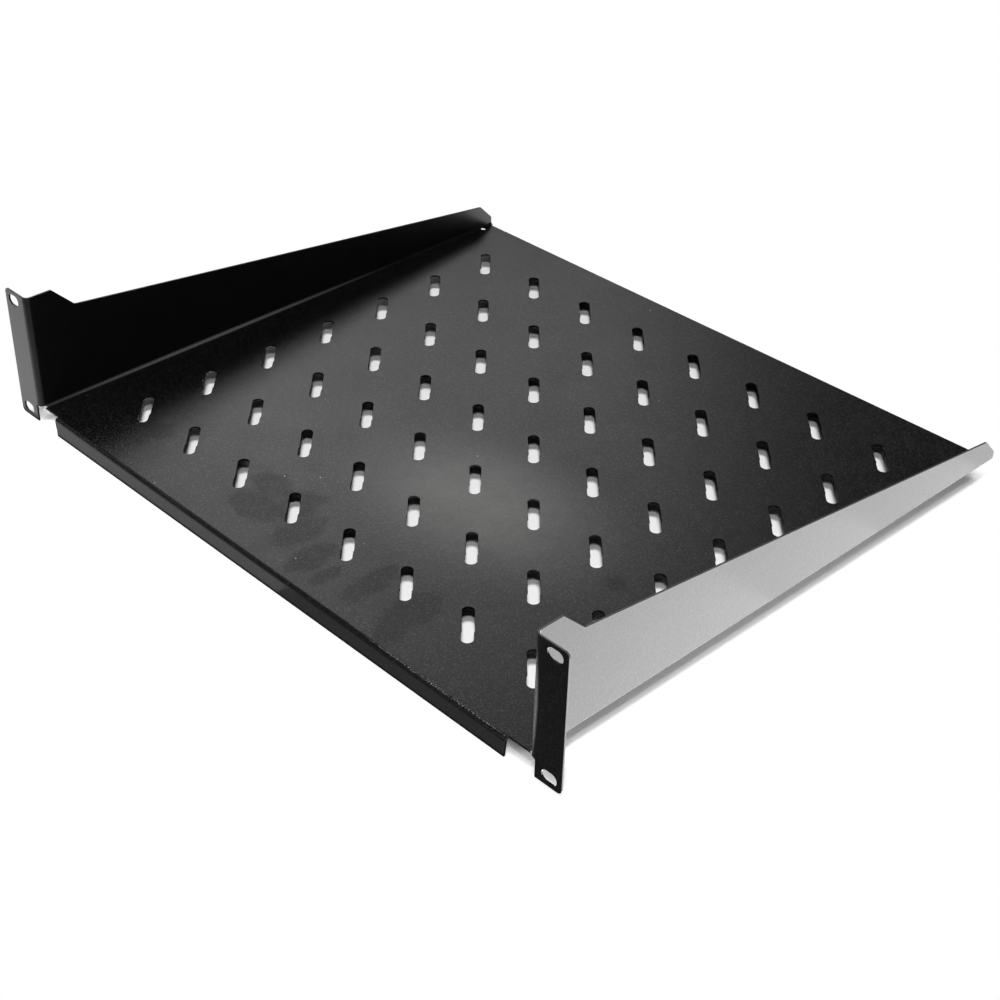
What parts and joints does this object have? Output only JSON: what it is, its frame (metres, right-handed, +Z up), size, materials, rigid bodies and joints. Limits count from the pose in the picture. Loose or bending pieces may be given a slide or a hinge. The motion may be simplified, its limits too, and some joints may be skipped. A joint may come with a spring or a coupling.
{
  "type": "cantilever rack shelf",
  "caption": "Folded steel cantilever shelf for a 19 inch rack: slotted deck between tapered side walls, with slotted rack ears and a shallow front lip.",
  "frame": {"origin": "middle of the footprint, at the lower edge of the front lip", "axes": "+X across the rack from the left ear to the right ear, +Y from the ears to the back, +Z up"},
  "size_m": [0.4826, 0.395, 0.0897],
  "materials": {
    "powder_black": "black powder coat with a fine grain, low sheen"
  },
  "bodies": {
    "root": {"shelf": "powder_black"}
  },
  "joints": []
}
